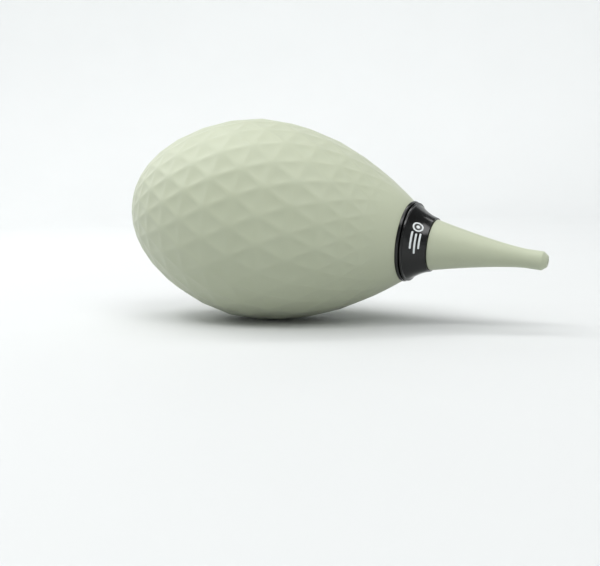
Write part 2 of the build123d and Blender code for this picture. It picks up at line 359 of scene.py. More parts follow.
# Reticulated polyurethane foam: charcoal struts round open cells; its second, near-black colour is
# painted shade in the pores.
FILTER_FOAM = FoamFinish(
    "charcoal_foam_reticulated", "#4A4D4F", 0.95, ior=1.5, mottle_and_pore_shade_colour="#101112",
    grain_mm=0.25, grain_depth_mm=0.05, sheen=0.2)

# Woven stainless wire: bright, slightly drawn surface.
STEEL_WIRE = Finish(
    "stainless_wire_woven", "#C4C3BE", 0.3, ior=1.5, metallic=1.0, mottle_and_pore_shade_colour="#B4B3AE",
    grain_mm=0.1, grain_depth_mm=0.002)

# Nitrile rubber: black, dull, slightly talced.
BLACK_RUBBER = Finish(
    "nitrile_rubber_moulded", "#161616", 0.6, ior=1.52, mottle_and_pore_shade_colour="#1D1D1D",
    grain_mm=0.25, grain_depth_mm=0.004)

# Pad-printed ink: opaque white, slightly uneven where the pad lifted.
PAD_PRINT = Finish(
    "white_ink_pad_printed", "#E6EAEA", 0.45, ior=1.5, mottle_and_pore_shade_colour="#CDD3D4", mottle_mm=0.8,
    grain_mm=0.2, grain_depth_mm=0.004)

# Matt laminate of a studio table: pale grey that the lights lift to white, nearly even.
STUDIO_WHITE = Finish(
    "white_laminate_matt", "#CFD1D1", 0.7, ior=1.5, mottle_and_pore_shade_colour="#CCCECE", mottle_mm=120.0,
    grain_mm=1.0, grain_depth_mm=0.004)


# ---- meshes
class Corner(NamedTuple):
    """Corner of a turned outline, with the radius that rounds it."""

    radius: float
    station: float
    fillet: float = 0.0


def rounded(corners: Sequence[Corner], closed: bool = True, steps: int = 5) -> list[Point]:
    """Round the corners of an outline.

    Args:
        corners: The outline's corners in order.
        closed: Whether the last corner joins the first.
        steps: Straight runs in each rounded corner.

    Returns:
        The outline's points.
    """
    points: list[Point] = []
    count = len(corners)
    for index, corner in enumerate(corners):
        here = Vector(corner[:2])
        if corner.fillet <= 0 or (not closed and index in (0, count - 1)):
            points.append(tuple(here))
            continue
        back = Vector(corners[index - 1][:2]) - here
        ahead = Vector(corners[(index + 1) % count][:2]) - here
        half = back.angle(ahead) / 2
        reach = min(corner.fillet / math.tan(half), LONGEST_ROUND * back.length,
                    LONGEST_ROUND * ahead.length)
        start = here + back.normalized() * reach
        end = here + ahead.normalized() * reach
        for step in range(steps + 1):
            share = step / steps
            pull = 2 * share * (1 - share)
            points.append(tuple(start * (1 - share) ** 2 + here * pull + end * share ** 2))
    return points


def spaced(start: float, end: float, count: int) -> list[float]:
    """Evenly spaced values from start to end, both included."""
    return [start + (end - start) * k / (count - 1) for k in range(count)]


def as_mesh(source: bmesh.types.BMesh) -> Mesh:
    """Turn a bmesh into a mesh data block and free it.

    Args:
        source: The bmesh.

    Returns:
        The mesh, to be named with its piece.
    """
    data = bpy.data.meshes.new("blank")
    source.to_mesh(data)
    source.free()
    return data


def turned(outline: Sequence[Point], segments: int = 128, closed: bool = True) -> Mesh:
    """Turn an outline about the long axis.

    Args:
        outline: Points of the outline; a point on the axis becomes a pole.
        segments: Steps round the axis.
        closed: Whether the last point joins the first.

    Returns:
        The turned mesh, in local millimetres.
    """
    mesh = bmesh.new()
    rows = []
    for radius, station in outline:
        if radius < ON_AXIS:
            rows.append([mesh.verts.new((0, 0, station))] * segments)
            continue
        rows.append([
            mesh.verts.new((radius * math.cos(FULL_TURN * k / segments),
                            radius * math.sin(FULL_TURN * k / segments), station))
            for k in range(segments)])
    for low, high in zip(rows, rows[1:] + (rows[:1] if closed else [])):
        for k in range(segments):
            ahead = (k + 1) % segments
            loop = list(dict.fromkeys([low[k], low[ahead], high[ahead], high[k]]))
            if len(loop) > 2:
                mesh.faces.new(loop)
    bmesh.ops.recalc_face_normals(mesh, faces=mesh.faces)
    return as_mesh(mesh)


def put_in_scene(name: str, data: bpy.types.ID) -> bpy.types.Object:
    """Make an object for a data block and link it to the scene.

    Args:
        name: The object's name.
        data: A mesh, a light or a camera.

    Returns:
        The object.
    """
    made = bpy.data.objects.new(name, data)
    bpy.context.scene.collection.objects.link(made)
    return made


def applied(holder: bpy.types.Object) -> Mesh:
    """Turn an object into a plain mesh and remove the object.

    Args:
        holder: The object, with its modifiers.

    Returns:
        Its mesh, with the modifiers applied.
    """
    seen = holder.evaluated_get(bpy.context.evaluated_depsgraph_get())
    made = bpy.data.meshes.new_from_object(seen)
    bpy.data.objects.remove(holder)
    return made


def place_piece(name: str, data: Mesh, finish: Material, body: Body | None, slot: Slot,
                replaced: Sequence[str] = (), sharp_degrees: float = 35.0) -> bpy.types.Object:
    """Put a local mesh in the row frame, dress it and ride it on a body.

    Args:
        name: The piece's name.
        data: Its mesh in local millimetres.
        finish: Its material.
        body: The body it rides on, or None for a piece that rides on no body.
        slot: The record's material slot; not used.
        replaced: CAD nodes that it stands for.
        sharp_degrees: Edges that turn more than this stay crisp.

    Returns:
        The placed object.
    """
    data.transform(AXIS.matrix)
    data.name = name
    data.materials.clear()
    data.materials.append(finish)
    data.shade_smooth()
    data.set_sharp_from_angle(angle=math.radians(sharp_degrees))
    piece = put_in_scene(name, data)
    if replaced:
        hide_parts(*replaced)
    if body:
        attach(piece, body.value)
    LOG.info("%s: %d faces on %s", name, len(data.polygons), body.value if body else "two bodies")
    return piece


def keep_node(node: str, finish: Material) -> None:
    """Keep a CAD node as it is and give it a material.

    Args:
        node: The node's name.
        finish: Its material.
    """
    data = frame["nodes"][node].data
    data.materials.clear()
    data.materials.append(finish)
    LOG.info("%s: carried over", node)


# ---- recipes
class Recipe:
    """A Geometry Nodes tree with named inputs, run once to make a plain mesh."""

    def __init__(self, name: str, sizes: dict[str, float | int],
                 finish: Material | None = None) -> None:
        """Start a tree.

        Args:
            name: The tree's name.
            sizes: Named inputs and their values; whole numbers become integer inputs.
            finish: Material of the finished piece, or None for a cutter.
        """
        self.tree = bpy.data.node_groups.new(name, "GeometryNodeTree")
        self.sizes = {**sizes, "Material": finish}
        kinds = {"Geometry": "Geometry"}
        kinds |= {label: "Int" if isinstance(value, int) else "Float"
                  for label, value in sizes.items()}
        kinds["Material"] = "Material"
        face = self.tree.interface
        for label, kind in kinds.items():
            face.new_socket(label, in_out="INPUT", socket_type=f"NodeSocket{kind}")
        face.new_socket("Geometry", in_out="OUTPUT", socket_type="NodeSocketGeometry")
        self.inputs = self.add("NodeGroupInput").outputs

    def add(self, kind: str, *fed: Any, **how: Any) -> Node:
        """Add a node to this tree, with the arguments of add_node."""
        return add_node(self.tree, kind, *fed, **how)

    def polar(self) -> tuple[Node, Node, Socket]:
        """Read where each point is.

        Returns:
            Its radius, its azimuth in turns, and its station.
        """
        x, y, station = self.add(SPLIT, self.add(POSITION)).outputs
        square = self.add(PLUS, self.add(TIMES, x, x), self.add(TIMES, y, y))
        angle = self.add(ARCTAN2, y, x)
        return (self.add(ROOT, square), self.add(OVER, angle, FULL_TURN), station)

    def moved_to(self, geometry: Any, radius: Any, azimuth: Any, station: Any) -> Node:
        """Move points to a place round the axis.

        Args:
            geometry: What is moved.
            radius: The new radius.
            azimuth: The new azimuth, in turns.
            station: The new station.

        Returns:
            The moved geometry.
        """
        angle = self.add(TIMES, azimuth, FULL_TURN)
        x, y = (self.add(TIMES, radius, self.add(wave, angle)) for wave in (COSINE, SINE))
        return self.add(SET_POSITION, geometry, inputs={
            "Position": self.add(COMBINE, x, y, station)})

    def pushed(self, geometry: Any, depth: Any) -> Node:
        """Move points along their own normals.

        Args:
            geometry: What is moved.
            depth: How far.

        Returns:
            The moved geometry.
        """
        push = self.add(SCALED, self.add("GeometryNodeInputNormal"), inputs={"Scale": depth})
        return self.add(SET_POSITION, geometry, inputs={"Offset": push})

    def run(self, result: Node, base: Mesh | None = None) -> Mesh:
        """Close the tree, evaluate it on a base mesh and return a plain mesh.

        Args:
            result: The geometry to output.
            base: The mesh that the tree works on, or None for an empty one.

        Returns:
            The evaluated mesh, in local millimetres.
        """
        real = self.add("GeometryNodeRealizeInstances", result)
        dressed = self.add("GeometryNodeSetMaterial", real, inputs={
            "Material": self.inputs["Material"]})
        self.add("NodeGroupOutput", dressed)
        holder = put_in_scene(self.tree.name, base or bpy.data.meshes.new(self.tree.name))
        modifier = holder.modifiers.new(self.tree.name, "NODES")
        modifier.node_group = self.tree
        for item in self.tree.interface.items_tree:
            if item.in_out == "INPUT" and self.sizes.get(item.name) is not None:
                modifier[item.identifier] = self.sizes[item.name]
        return applied(holder)


def cut(body: Mesh, cutter: Mesh, joined: bool = False) -> Mesh:
    """Cut one closed mesh from another, or join the two.

    Args:
        body: The mesh that is cut.
        cutter: The mesh that cuts it.
        joined: Join instead of cutting.

    Returns:
        The result as a plain mesh.
    """
    holder, tool = (put_in_scene(data.name, data) for data in (body, cutter))
    modifier = holder.modifiers.new("cut", "BOOLEAN")
    modifier.operation = "UNION" if joined else "DIFFERENCE"
    modifier.solver = "EXACT"
    modifier.use_self = True
    modifier.object = tool
    made = applied(holder)
    bpy.data.objects.remove(tool)
    return made


def ringed(base: Mesh, count: int, radius: float, start_turn: float) -> Mesh:
    """Repeat a mesh round the long axis.

    Args:
        base: The mesh to repeat, drawn about the local origin.
        count: How many copies.
        radius: Distance from the axis.
        start_turn: Azimuth of the first copy, in turns.

    Returns:
        All copies as one mesh.
    """
    recipe = Recipe("ring_of_copies", {"Count": count, "Radius": radius, "Start": start_turn})
    given, add = recipe.inputs, recipe.add
    share = add(OVER, add(INDEX), given["Count"])
    azimuth = add(PLUS, share, given["Start"])
    spots = add("GeometryNodePoints", given["Count"])
    placed = recipe.moved_to(spots, given["Radius"], azimuth, 0.0)
    facing = add(COMBINE, inputs={2: add(TIMES, azimuth, FULL_TURN)})
    copies = add("GeometryNodeInstanceOnPoints", placed, inputs={
        "Instance": given["Geometry"], "Rotation": facing})
    return recipe.run(copies, base)


def slot_block(length: float, width: float, layers: Sequence[Point], steps: int = 10) -> Mesh:
    """Closed block with round ends, long in local X.

    Args:
        length: Overall length.
        width: Width, and the diameter of the ends.
        layers: How far the outline grows and at which station, from low to high.
        steps: Runs in each round end.

    Returns:
        The block.
    """
    mesh = bmesh.new()
    reach = (length - width) / 2
    rings = []
    for growth, station in layers:
        radius = width / 2 + growth
        ring = []
        for side, start in ((1, -0.5), (-1, 0.5)):
            for k in range(steps + 1):
                angle = math.pi * (k / steps + start)
                ring.append(mesh.verts.new((side * reach + radius * math.cos(angle),
                                            radius * math.sin(angle), station)))
        rings.append(ring)
    for low, high in zip(rings, rings[1:]):
        for k in range(len(low)):
            ahead = (k + 1) % len(low)
            mesh.faces.new([low[k], low[ahead], high[ahead], high[k]])
    mesh.faces.new(rings[0])
    mesh.faces.new(rings[-1])
    bmesh.ops.recalc_face_normals(mesh, faces=mesh.faces)
    return as_mesh(mesh)


def arc_block(radii: Point, stations: Point, arc: float, centre: float, steps: int = 16) -> Mesh:
    """Closed block that is a piece of a ring.

    Args:
        radii: Inner and outer radius.
        stations: Lowest and highest station.
        arc: Width in degrees.
        centre: Azimuth of the middle, in degrees.
        steps: Runs along the arc.

    Returns:
        The block.
    """
    mesh = bmesh.new()
    (inner, outer), (low, high) = radii, stations
    angles = [math.radians(centre + arc * (k / steps - 0.5)) for k in range(steps + 1)]
    rim = [(outer, a) for a in angles] + [(inner, a) for a in reversed(angles)]
    floor = mesh.faces.new(
        [mesh.verts.new((r * math.cos(a), r * math.sin(a), low)) for r, a in rim])
    lifted = bmesh.ops.extrude_face_region(mesh, geom=[floor])
    moved = [item for item in lifted["geom"] if isinstance(item, bmesh.types.BMVert)]
    bmesh.ops.translate(mesh, verts=moved, vec=(0, 0, high - low))
    bmesh.ops.recalc_face_normals(mesh, faces=mesh.faces)
    return as_mesh(mesh)


# ---- bulb
@dataclass(frozen=True)
class SqueezeBulb:
    """Silicone bulb: a net of soft triangular facets over an egg, stepped tail and a mouth."""

    facets: int = 22
    rings: tuple[float, ...] = (2.4, 3.9, 6.0, 9.3, 13.9, 20.1, 28.3, 37.2, 46.8, 56.4, 65.7,
                                75.3, 84.0, 90.7, 96.0, 100.6, 105.4)
    widest_at: float = 48.4
    widest_r: float = 35.45
    tail_fullness: Point = (1.64, 0.46)
    front_fall: float = 0.63
    level: int = 3               # halvings of each facet edge
    dish: float = 0.042          # depth of each hollow facet against the root of its area
    dish_peak: float = 27.0      # brings the product of three equal shares of a third to one
    softening: float = 0.4       # how far the creases are rounded
    rim_guard: float = 0.2       # how near the open rims the creases stay as they are
    weld: float = 0.01           # corners of neighbouring facets nearer than this are one
    fade: Point = (93.0, 103.0)  # stations between which the facets fade into a smooth neck
    wall: float = 2.6
    cavity: tuple[float, float, int] = (3.6, 102.6, 60)
    cavity_ends: Point = (0.8, 0.6)      # room left for the fillets at its tail and mouth
    cavity_steps: Point = (0.6, 0.2)     # how much narrower its end walls begin
    recess_r: float = 10.35
    recess_floor: float = 4.4
    tail_hole_r: float = 8.65
    tail_wall_end: float = 7.4
    mouth_wall_start: float = 99.6
    mouth_r: float = 9.05
    rim_band: float = 0.05       # how near its station a rim's points lie
    seam_nudge: float = 0.01     # radians that keep the points at azimuth zero first
    crease_degrees: float = 32.0
    squeeze_span: Point = (15.5, 95.0)

    def radius(self, station: float) -> float:
        """Find the radius of the facet corners at a station.

        Args:
            station: The station.

        Returns:
            The radius.
        """
        if station < self.widest_at:
            reach = (self.widest_at - station) / self.widest_at
            power, fullness = self.tail_fullness
            return self.widest_r * (1 - reach ** power) ** fullness
        reach = (station - self.widest_at) / (self.rings[-1] - self.widest_at)
        return self.widest_r * (1 - self.front_fall * reach ** 2)

    def facet_net(self, silicone: Material) -> Mesh:
        """Outer skin: rings of corners half a step apart, split into soft-edged triangles.

        Args:
            silicone: Its material.

        Returns:
            The open skin, in local millimetres.
        """
        corners = bpy.data.meshes.new("ring_corners")
        corners.from_pydata([(self.radius(s), 0, s) for s in self.rings], [], [])
        recipe = Recipe("facet_net", {
            "Facets Round": self.facets, "Level": self.level, "Dish": self.dish,
            "Softening": self.softening, "Fade Start": self.fade[0], "Fade End": self.fade[1],
            "Widest Radius": self.widest_r, "Widest At": self.widest_at,
            "Mouth At": self.rings[-1], "Front Fall": self.front_fall}, silicone)
        given, add = recipe.inputs, recipe.add
        count = add("GeometryNodeAttributeDomainSize", given["Geometry"],
                    component="MESH").outputs["Point Count"]
        across = add(PLUS, given["Facets Round"], 1)
        grid = add("GeometryNodeMeshGrid", inputs={"Vertices X": count, "Vertices Y": across})
        index = add(INDEX)
        passed = add(OVER, add(PLUS, index, 0.5), across)
        row = add(FLOOR, passed)
        column = add(MINUS, index, add(TIMES, row, across))
        ring = add("GeometryNodeSampleIndex", given["Geometry"], data_type="FLOAT_VECTOR",
                   inputs={"Index": row, "Value": add(POSITION)})
        ring_r, _, ring_at = add(SPLIT, ring).outputs
        stagger = add(PLUS, column, add(TIMES, row, 0.5))
        azimuth = add(OVER, stagger, given["Facets Round"])
        net = recipe.moved_to(grid, ring_r, azimuth, ring_at)
        split = add("GeometryNodeTriangulate", net, quad_method="SHORTEST_DIAGONAL")
        dished = self.hollow(recipe, add("GeometryNodeSplitEdges", split))
        seamless = add("GeometryNodeMergeByDistance", dished, inputs={"Distance": self.weld})
        here = add(POSITION)
        blurred = add("GeometryNodeBlurAttribute", data_type="FLOAT_VECTOR", inputs={
            "Value": here, "Iterations": 1})
        eased = add("ShaderNodeMix", given["Softening"], data_type="VECTOR", inputs={
            4: here, 5: blurred}).outputs[1]
        radius, turn, station = recipe.polar()
        off_tail = add(ABOVE, station, self.rings[0] + self.rim_guard)
        off_mouth = add(BELOW, station, self.rings[-1] - self.rim_guard)
        inside = add(TIMES, off_tail, off_mouth)
        soft = add(SET_POSITION, seamless, inside, eased)
        ahead = add(MINUS, station, given["Widest At"])
        whole = add(MINUS, given["Mouth At"], given["Widest At"])
        fall = add(OVER, ahead, whole)
        drop = add(TIMES, add(TIMES, fall, fall), given["Front Fall"])
        smooth_r = add(TIMES, add(MINUS, 1.0, drop), given["Widest Radius"])
        fade = add(MAP_RANGE, station, given["Fade Start"], given["Fade End"],
                   interpolation_type="SMOOTHSTEP")
        faceted = add(TIMES, add(MINUS, 1.0, fade), radius)
        blended = add(PLUS, faceted, add(TIMES, fade, smooth_r))
        return recipe.run(recipe.moved_to(soft, blended, turn, station), corners)

    def hollow(self, recipe: Recipe, parted: Node) -> Node:
        """Subdivide each triangle and hollow it towards its middle.

        Args:
            recipe: The skin's tree.
            parted: Triangles that share no corners.

        Returns:
            The hollow facets.
        """
        add = recipe.add
        order = add("GeometryNodeFaceOfCorner", add("GeometryNodeCornersOfVertex")).outputs[1]
        shares = add(COMBINE, *(add(IS_NEAR, order, float(corner), 0.1) for corner in range(3)))
        size = add(ROOT, add("GeometryNodeInputMeshFaceArea"))
        known = parted
        for label, kind, value in (("corner_shares", "FLOAT_VECTOR", shares),
                                   ("facet_size", "FLOAT", size)):
            known = add("GeometryNodeStoreNamedAttribute", known, data_type=kind,
                        domain="POINT", inputs={"Name": label, "Value": value})
        fine = add("GeometryNodeSubdivideMesh", known, recipe.inputs["Level"])
        first, second, third = add(SPLIT, add(
            "GeometryNodeInputNamedAttribute", "corner_shares", data_type="FLOAT_VECTOR")).outputs
        middle = add(TIMES, add(TIMES, first, second), add(TIMES, third, self.dish_peak))
        depth = add(TIMES, recipe.inputs["Dish"], add(
            "GeometryNodeInputNamedAttribute", "facet_size", data_type="FLOAT"))
        return recipe.pushed(fine, add(TIMES, middle, depth))

    def cavity_wall(self) -> list[Point]:
        """Inner wall from the tail to the mouth, one wall thickness inside the facets.

        Returns:
            Its points, without the corners at its two ends.
        """
        points = []
        low = self.tail_wall_end + self.cavity_ends[0]
        high = self.mouth_wall_start - self.cavity_ends[1]
        step = 0.1
        for station in spaced(*self.cavity):
            rise = (self.radius(station + step) - self.radius(station - step)) / (2 * step)
            lean = math.hypot(1, rise)
            flat_r = self.radius(station) * math.cos(math.pi / self.facets)
            place = (flat_r - self.wall / lean, station + self.wall * rise / lean)
            if low < place[1] < high:
                points.append(place)
        return points

    def build(self, silicone: Material) -> None:
        """Close the shell, dress it and bake it in place in the row frame, riding on no body.

        Args:
            silicone: Its material.
        """
        wall = self.cavity_wall()
        tail, mouth = self.rings[0], self.rings[-1]
        inner = rounded([
            Corner(self.recess_r, tail), Corner(self.recess_r, self.recess_floor, 0.15),
            Corner(self.tail_hole_r, self.recess_floor, 0.15),
            Corner(self.tail_hole_r, self.tail_wall_end, 0.3),
            Corner(wall[0][0] - self.cavity_steps[0], self.tail_wall_end, 0.8),
            *[Corner(*point) for point in wall],
            Corner(wall[-1][0] - self.cavity_steps[1], self.mouth_wall_start, 0.5),
            Corner(self.mouth_r, self.mouth_wall_start, 0.2),
            Corner(self.mouth_r, mouth)], closed=False)
        steps = self.facets * 2 ** self.level
        shell = bmesh.new()
        lining = turned(inner, steps, closed=False)
        shell.from_mesh(lining)
        shell.from_mesh(self.facet_net(silicone))
        shell.verts.index_update()
        for station in (tail, mouth):
            edge = [v for v in shell.verts
                    if v.is_boundary and abs(v.co.z - station) < self.rim_band]
            edge.sort(key=lambda v: (math.atan2(v.co.y, v.co.x) + self.seam_nudge) % FULL_TURN)
            own = [v for v in edge if v.index < len(lining.vertices)]
            rim = [v for v in edge if v.index >= len(lining.vertices)]
            for k in range(steps):
                ahead = (k + 1) % steps
                shell.faces.new([own[k], own[ahead], rim[ahead], rim[k]])
        bmesh.ops.recalc_face_normals(shell, faces=shell.faces)
        LOG.info("bulb shell open edges: %d", sum(e.is_boundary for e in shell.edges))
        piece = place_piece("bulb_shell_skin", as_mesh(shell), silicone, None,
                            Slot.SAGE_SILICONE, ["bulb_shell"], self.crease_degrees)
        start, end = self.squeeze_span
        AXIS.point(start)
        AXIS.point(end)
        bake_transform(piece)


# ---- neck
@dataclass(frozen=True)
class Thread:
    """Right-hand trapezoidal collar thread, outside on the bushing and inside the collar."""

    lead: float = 2.0
    outer_root_r: float = 7.9
    outer_height: float = 0.68
    inner_root_r: float = 8.7
    inner_height: float = -0.64          # below zero, so it grows inwards
    row_step: float = 0.1
    flank: Point = (0.22, 0.12)  # shares of the lead, from a tooth's middle, at root and crest
    run_out: float = 0.7
    root_band: float = 0.02      # rows this near the root radius carry the thread
    inset: float = 0.3           # how far the teeth stay from a piece's end
    rows_inset: float = 0.4      # how far the rows stay from it

    def rows(self, radius: float, start: float, end: float) -> list[Corner]:
        """Closely spaced corners along a threaded wall."""
        count = max(2, round(abs(end - start) / self.row_step) + 1)
        return [Corner(radius, station) for station in spaced(start, end, count)]

    def wind(self, data: Mesh, inner: bool, span: Point, phase: float, finish: Material) -> Mesh:
        """Raise the thread on a turned surface.

        Args:
            data: Mesh with closely spaced rows at the root radius.
            inner: Whether it is the collar's inner thread.
            span: Stations where the thread starts and ends.
            phase: Share of a turn that shifts the thread.
            finish: The piece's material.

        Returns:
            The threaded mesh.
        """
        recipe = Recipe("thread_winding", {
            "Root Radius": self.inner_root_r if inner else self.outer_root_r,
            "Height": self.inner_height if inner else self.outer_height, "Lead": self.lead,
            "Start": span[0], "End": span[1], "Phase": phase, "Run Out": self.run_out}, finish)
        given, add = recipe.inputs, recipe.add
        radius, azimuth, station = recipe.polar()
        advance = add(OVER, station, given["Lead"])
        turns = add(MINUS, advance, azimuth)
        shifted = add(PLUS, turns, given["Phase"])
        tooth = add(PINGPONG, shifted, 0.5)
        flank = add(MAP_RANGE, tooth, *self.flank)
        ends = [add(MAP_RANGE, add(MINUS, far, near), 0.0, given["Run Out"],
                    interpolation_type="SMOOTHSTEP")
                for far, near in ((station, given["Start"]), (given["End"], station))]
        full = add(TIMES, flank, add(TIMES, *ends))
        lift = add(TIMES, full, given["Height"])
        on_root = add(IS_NEAR, radius, given["Root Radius"], self.root_band)
        raised = add(PLUS, radius, add(TIMES, lift, on_root))
        return recipe.run(recipe.moved_to(given["Geometry"], raised, azimuth, station), data)


@dataclass(frozen=True)
class Neck:
    """Threaded bushing in the bulb's mouth and the bead ring that clamps the silicone to it."""

    thread: Thread = field(default_factory=Thread)
    mouth: float = 105.4
    ring_t: float = 1.15
    ring_r: float = 13.4
    ring_bore_r: float = 9.05
    tube_r: float = 9.0
    flange_r: float = 11.8
    flange: Point = (97.6, 99.6)
    shoulder: float = 106.68
    thread_gap: float = 0.1      # plain run between the shoulder and the thread
    end: float = 111.9
    bore_r: float = 6.6
    ledge_r: float = 5.9
    ledge: float = 102.8

    def build(self, plastic: Material) -> None:
        """Make the bushing and the ring.

        Args:
            plastic: The neck's black plastic.
        """
        root, wound = self.thread.outer_root_r, self.shoulder + self.thread_gap
        outline = rounded([
            Corner(self.ledge_r, self.flange[0], 0.2), Corner(self.flange_r, self.flange[0], 0.5),
            Corner(self.flange_r, self.flange[1], 0.3), Corner(self.tube_r, self.flange[1], 0.1),
            Corner(self.tube_r, self.shoulder, 0.15), Corner(root, self.shoulder, 0.05),
            *self.thread.rows(root, wound, self.end - self.thread.rows_inset),
            Corner(root, self.end, 0.3), Corner(self.bore_r, self.end, 0.2),
            Corner(self.bore_r, self.ledge), Corner(self.ledge_r, self.ledge, 0.1)])
        bushing = self.thread.wind(turned(outline), False,
                                   (wound, self.end - self.thread.inset), 0.0, plastic)
        place_piece("threaded_bushing", bushing, plastic, Body.ROOT, Slot.BLACK_ABS,
                    ["neck_bushing"])
        top = self.mouth + self.ring_t
        bead = rounded([
            Corner(self.ring_bore_r, self.mouth, 0.05), Corner(self.ring_r, self.mouth, 0.5),
            Corner(self.ring_r, top, 0.5), Corner(self.ring_bore_r, top, 0.1)], steps=8)
        place_piece("clamp_bead", turned(bead, 176), plastic, Body.ROOT, Slot.BLACK_ABS,
                    ["neck_ring"])


@dataclass(frozen=True)
class Collar:
    """Screw collar: rounded rim band, small step, hollow flare, trapping web, airflow mark."""

    thread: Thread = field(default_factory=Thread)
    thread_end: float = 111.7
    thread_phase: float = 0.5    # its teeth run between the bushing's
    start: float = 106.8
    rim_r: float = 13.0
    rim_t: float = 0.85
    rim_inset: float = 0.25
    step: float = 0.3
    end: float = 114.3
    end_r: float = 8.9
    sag: float = 0.5
    web: float = 112.9
    hole_r: float = 7.6
    mark_azimuth: float = 257.0
    mark_station: float = 110.9
    ink_t: float = 0.03
    discs_at: float = -3.9       # millimetres round the flare from the mark's middle
    discs: tuple[Point, ...] = ((0.0, 0.5), (1.15, 1.6))     # inner and outer radius
    bars: tuple[Place, ...] = ((-1.6, 5.0, 0.0), (-2.0, 3.4, 1.2), (-2.0, 3.4, -1.2))
    bar_half: float = 0.27

    def flare(self, station: float) -> float:
        """Find the radius of the hollow flare at a station.

        Args:
            station: The station.

        Returns:
            The radius.
        """
        start = self.start + self.rim_t
        share = (station - start) / (self.end - start)
        first = self.rim_r - self.rim_inset - self.step
        return first + (self.end_r - first) * share - 4 * self.sag * share * (1 - share)

    def build(self, plastic: Material) -> None:
        """Make the collar and its mark.

        Args:
            plastic: The collar's black plastic.
        """
        rim_end = self.start + self.rim_t
        root = self.thread.inner_root_r
        flare = [Corner(self.flare(s), s) for s in spaced(rim_end + 0.3, self.end - 0.2, 14)]
        outline = rounded([
            Corner(root, self.start, 0.25), Corner(self.rim_r, self.start, 0.35),
            Corner(self.rim_r, rim_end, 0.35), Corner(self.flare(rim_end), rim_end, 0.06), *flare,
            Corner(self.end_r, self.end, 0.12), Corner(self.hole_r, self.end, 0.12),
            Corner(self.hole_r, self.web, 0.1), Corner(root, self.web, 0.05),
            *self.thread.rows(root, self.web - 0.2, self.start + self.thread.rows_inset)], steps=6)
        span = (self.start + self.thread.inset, self.thread_end)
        collar = self.thread.wind(turned(outline, 176), True, span, self.thread_phase, plastic)
        place_piece("screw_collar", collar, plastic, Body.COLLAR, Slot.BLACK_ABS,
                    ["nozzle_collar"])
        place_piece("airflow_mark", self.ink(self.mark()), PAD_PRINT.build(), Body.COLLAR,
                    Slot.BLACK_ABS, sharp_degrees=60)

    def ink(self, strips: Sequence[Sequence[tuple[Point, Point]]]) -> Mesh:
        """Lay strips of ink on the flare.

        Args:
            strips: Each strip as pairs of (round, along) places in millimetres from the mark's
                middle, one pair for each step along the strip.

        Returns:
            The ink, a thin closed solid on the flare.
        """
        mesh = bmesh.new()
        middle = math.radians(self.mark_azimuth)
        for strip in strips:
            rows = []
            for pair in strip:
                row = []
                for share in spaced(0.0, 1.0, 4):
                    across = pair[0][0] + (pair[1][0] - pair[0][0]) * share
                    along = pair[0][1] + (pair[1][1] - pair[0][1]) * share
                    station = self.mark_station + along
                    radius = self.flare(station) + self.ink_t / 2
                    angle = middle + across / self.flare(self.mark_station)
                    row.append(mesh.verts.new(
                        (radius * math.cos(angle), radius * math.sin(angle), station)))
                rows.append(row)
            for low, high in zip(rows, rows[1:]):
                for k in range(len(low) - 1):
                    mesh.faces.new([low[k], low[k + 1], high[k + 1], high[k]])
        bmesh.ops.remove_doubles(mesh, verts=mesh.verts, dist=0.0005)
        for face in mesh.faces:
            outward = Vector((*face.calc_center_median().xy, 0))
            face.normal_update()
            if face.normal.dot(outward) < 0:
                face.normal_flip()
        bmesh.ops.solidify(mesh, geom=mesh.faces, thickness=self.ink_t)
        return as_mesh(mesh)

    def mark(self) -> list[list[tuple[Point, Point]]]:
        """Draw a plain airflow mark: a ring round a dot, and three streaming bars.

        Returns:
            Its strips, as ink takes them.
        """
        strips = [[((inner * math.cos(a) + self.discs_at, inner * math.sin(a)),
                    (outer * math.cos(a) + self.discs_at, outer * math.sin(a)))
                   for a in spaced(0.0, FULL_TURN, 41)] for inner, outer in self.discs]
        return strips + [self.bar(*size) for size in self.bars]

    def bar(self, start: float, end: float, along: float) -> list[tuple[Point, Point]]:
        """Draw a bar with round ends, at one station.

        Args:
            start: Where it starts round the flare.
            end: Where it ends.
            along: How far its middle line is from the mark's middle.

        Returns:
            Its strip.
        """
        strip = []
        for k in range(25):
            share = 0.5 - 0.5 * math.cos(math.pi * k / 24)
            place = start + (end - start) * share
            inset = min(place - start, end - place, self.bar_half)
            wide = math.sqrt(max(self.bar_half ** 2 - (self.bar_half - inset) ** 2, 1e-6))
            strip.append(((place, along - wide), (place, along + wide)))
        return strip


